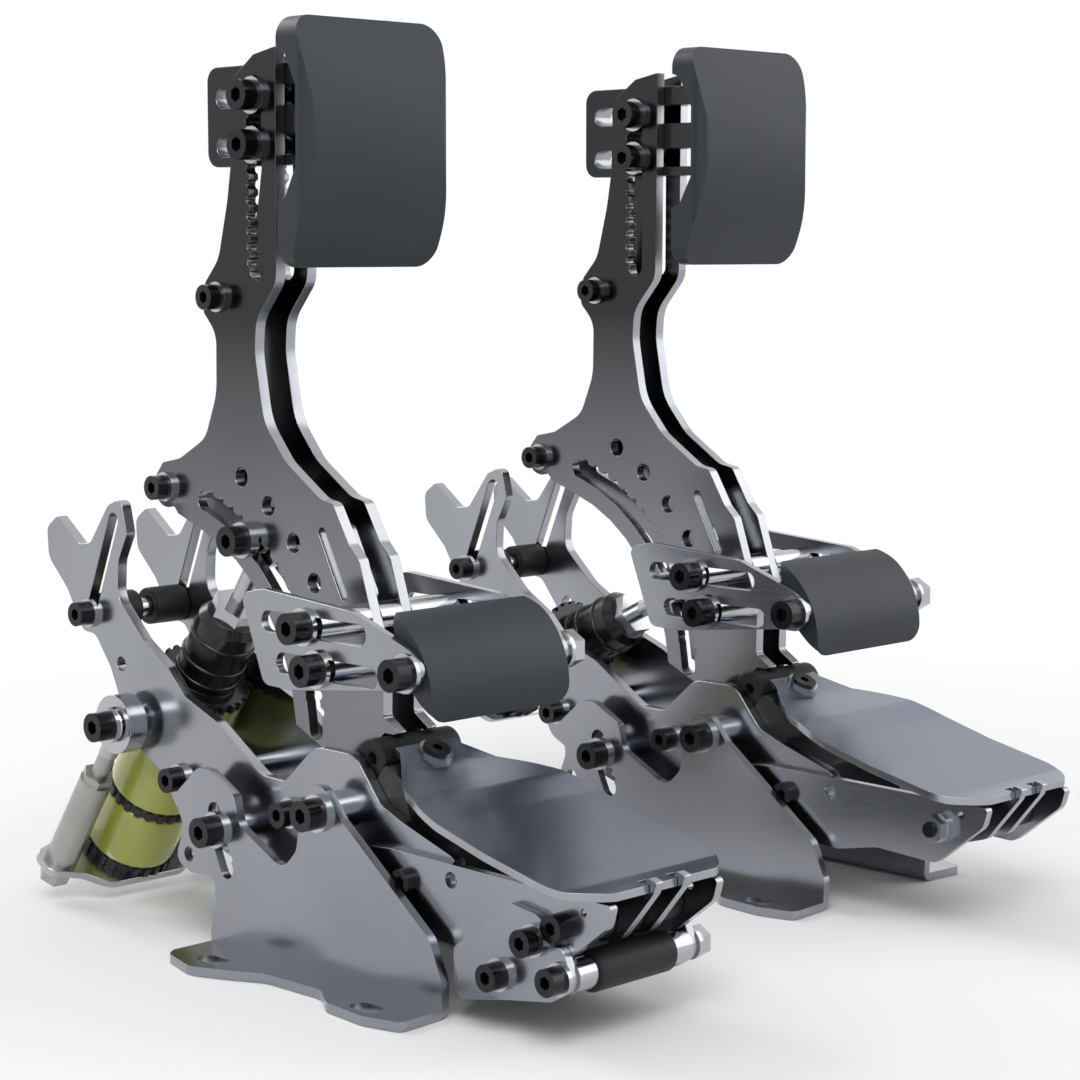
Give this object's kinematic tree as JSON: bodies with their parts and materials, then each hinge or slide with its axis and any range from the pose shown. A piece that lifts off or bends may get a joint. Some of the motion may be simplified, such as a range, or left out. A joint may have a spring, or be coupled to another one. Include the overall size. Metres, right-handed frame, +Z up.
{
  "type": "sim racing pedal set",
  "caption": "Free-standing brake and throttle pedals for a driving simulator, built of slotted steel plates with adjustable pads and spring units.",
  "frame": {"origin": "middle of the set's footprint, on the floor under the foot flanges", "axes": "+X to the driver's right, +Y away from the driver, +Z up; the pads face -Y"},
  "size_m": [0.2878, 0.2784, 0.2986],
  "materials": {
    "polished_steel": "polished stainless sheet with cut edges",
    "dark_steel": "polished dark stainless sheet",
    "gunmetal": "satin gunmetal coating",
    "black_oxide": "black oxide screws",
    "bright_metal": "bright zinc and ground steel",
    "black_rubber": "smooth black rubber",
    "black_plastic": "moulded black plastic",
    "elastomer": "translucent yellow-green polyurethane",
    "aluminium": "satin aluminium",
    "spring_steel": "plain spring wire"
  },
  "bodies": {
    "base": {"brake_foot_left": "polished_steel", "brake_foot_right": "polished_steel", "brake_frame_left": "polished_steel", "brake_frame_right": "polished_steel", "brake_heel_sides": "polished_steel", "brake_link_plates": "polished_steel", "brake_heel_plate": "polished_steel", "brake_heel_block": "black_plastic", "brake_rest_bumper": "black_rubber", "brake_travel_stops": "black_rubber", "brake_heel_rollers": "black_rubber", "brake_frame_screws": "black_oxide", "brake_frame_spacers": "bright_metal", "brake_pivot_axle": "spring_steel", "throttle_foot_left": "polished_steel", "throttle_foot_right": "polished_steel", "throttle_frame_left": "polished_steel", "throttle_frame_right": "polished_steel", "throttle_heel_sides": "polished_steel", "throttle_heel_plate": "polished_steel", "throttle_heel_block": "black_plastic", "throttle_rest_bumper": "black_rubber", "throttle_travel_stops": "black_rubber", "throttle_heel_rollers": "black_rubber", "throttle_frame_screws": "black_oxide", "throttle_frame_spacers": "bright_metal", "throttle_pivot_axle": "spring_steel"},
    "brake_arm": {"brake_arm_left": "dark_steel", "brake_arm_right": "dark_steel", "brake_main_pad": "gunmetal", "brake_pad_tab": "polished_steel", "brake_lower_pad": "gunmetal", "brake_lower_brackets": "polished_steel", "brake_arm_tubes": "bright_metal", "brake_arm_screws": "black_oxide"},
    "brake_unit": {"brake_unit_base": "aluminium", "brake_load_cell": "black_plastic", "brake_side_rods": "aluminium", "brake_rod_ends": "bright_metal", "brake_elastomers": "elastomer"},
    "brake_lower_separator": {"brake_separator_low": "black_plastic"},
    "brake_upper_separator": {"brake_separator_high": "black_plastic"},
    "brake_pusher": {"brake_adjuster": "black_plastic", "brake_push_rod": "spring_steel"},
    "throttle_arm": {"throttle_arm_left": "dark_steel", "throttle_arm_right": "dark_steel", "throttle_main_pad": "gunmetal", "throttle_pad_tab": "polished_steel", "throttle_lower_pad": "gunmetal", "throttle_lower_brackets": "polished_steel", "throttle_arm_tubes": "bright_metal", "throttle_arm_screws": "black_oxide"},
    "throttle_unit": {"throttle_unit_base": "aluminium", "throttle_load_cell": "black_plastic", "throttle_side_rods": "aluminium", "throttle_rod_ends": "bright_metal", "throttle_spring": "spring_steel"},
    "throttle_pusher": {"throttle_soft_ring": "elastomer", "throttle_adjuster": "black_plastic", "throttle_push_rod": "spring_steel"}
  },
  "joints": [
    {"name": "brake_press", "type": "hinge", "parent": "base", "child": "brake_arm", "pos_m": [-0.09, -0.01852, 0.054], "axis": [-1, 0, 0], "range_deg": [0, 9], "stiffness_Nm_per_rad": 60, "springref_deg": -5.73},
    {"name": "brake_unit_tilt", "type": "hinge", "parent": "base", "child": "brake_unit", "pos_m": [-0.09, 0.08748, 0.068], "axis": [-1, 0, 0], "range_deg": [0, 3.19]},
    {"name": "brake_stroke", "type": "slide", "parent": "brake_unit", "child": "brake_pusher", "axis": [0, 0.5736, -0.8192], "range_m": [0, 0.01513], "deforming": ["brake_elastomers"]},
    {"name": "brake_lower_separator_slide", "type": "slide", "parent": "brake_unit", "child": "brake_lower_separator", "axis": [0, 0.5736, -0.8192], "range_m": [0, 0.00508]},
    {"name": "brake_upper_separator_slide", "type": "slide", "parent": "brake_unit", "child": "brake_upper_separator", "axis": [0, 0.5736, -0.8192], "range_m": [0, 0.0101]},
    {"name": "throttle_press", "type": "hinge", "parent": "base", "child": "throttle_arm", "pos_m": [0.09, -0.01852, 0.054], "axis": [-1, 0, 0], "range_deg": [0, 14], "stiffness_Nm_per_rad": 14, "springref_deg": -5.73},
    {"name": "throttle_unit_tilt", "type": "hinge", "parent": "base", "child": "throttle_unit", "pos_m": [0.09, 0.08748, 0.068], "axis": [-1, 0, 0], "range_deg": [-3.34, 0]},
    {"name": "throttle_stroke", "type": "slide", "parent": "throttle_unit", "child": "throttle_pusher", "axis": [0, 0.8988, -0.4384], "range_m": [0, 0.01401], "deforming": ["throttle_spring"]}
  ],
  "couplings": [
    {"joint": "brake_unit_tilt", "follows": "brake_press", "ratio": 0.3524},
    {"joint": "brake_stroke", "follows": "brake_press", "m_per_rad": 0.09599},
    {"joint": "brake_lower_separator_slide", "follows": "brake_press", "m_per_rad": 0.031997},
    {"joint": "brake_upper_separator_slide", "follows": "brake_press", "m_per_rad": 0.063993},
    {"joint": "throttle_unit_tilt", "follows": "throttle_press", "ratio": -0.2372},
    {"joint": "throttle_stroke", "follows": "throttle_press", "m_per_rad": 0.057124}
  ]
}
